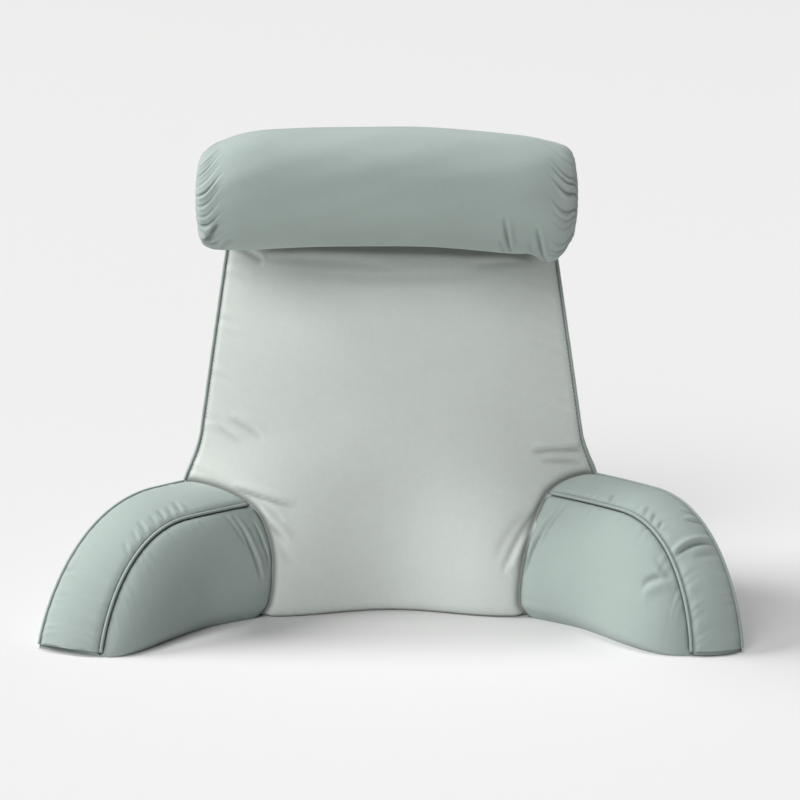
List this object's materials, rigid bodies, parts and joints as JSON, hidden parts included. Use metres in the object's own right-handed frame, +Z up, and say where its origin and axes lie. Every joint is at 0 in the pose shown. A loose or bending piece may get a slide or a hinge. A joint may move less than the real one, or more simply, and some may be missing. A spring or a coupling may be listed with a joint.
{
  "type": "reading pillow",
  "caption": "Wedge-shaped reading pillow with a leaning padded back, splayed padded arms and a soft neck roll across the top.",
  "frame": {"origin": "on the floor, at the middle of the whole pillow's footprint box", "axes": "+Z up, -Y towards the reader, X across the pillow with -X at the left arm as seen from the front"},
  "size_m": [0.8564, 0.3782, 0.6102],
  "materials": {
    "sage_cloth": "matt brushed cloth in sage green",
    "silver_sage_cloth": "matt brushed cloth in pale silver sage"
  },
  "bodies": {
    "root": {"backrest": "sage_cloth", "front_panel": "silver_sage_cloth", "front_panel_piping": "sage_cloth", "arm_left": "sage_cloth", "arm_left_band": "sage_cloth", "arm_left_outer_piping": "sage_cloth", "arm_left_inner_piping": "sage_cloth", "arm_right": "sage_cloth", "arm_right_band": "sage_cloth", "arm_right_outer_piping": "sage_cloth", "arm_right_inner_piping": "sage_cloth", "bolster": "sage_cloth", "bolster_end_left": "sage_cloth", "bolster_end_right": "sage_cloth"}
  },
  "joints": []
}
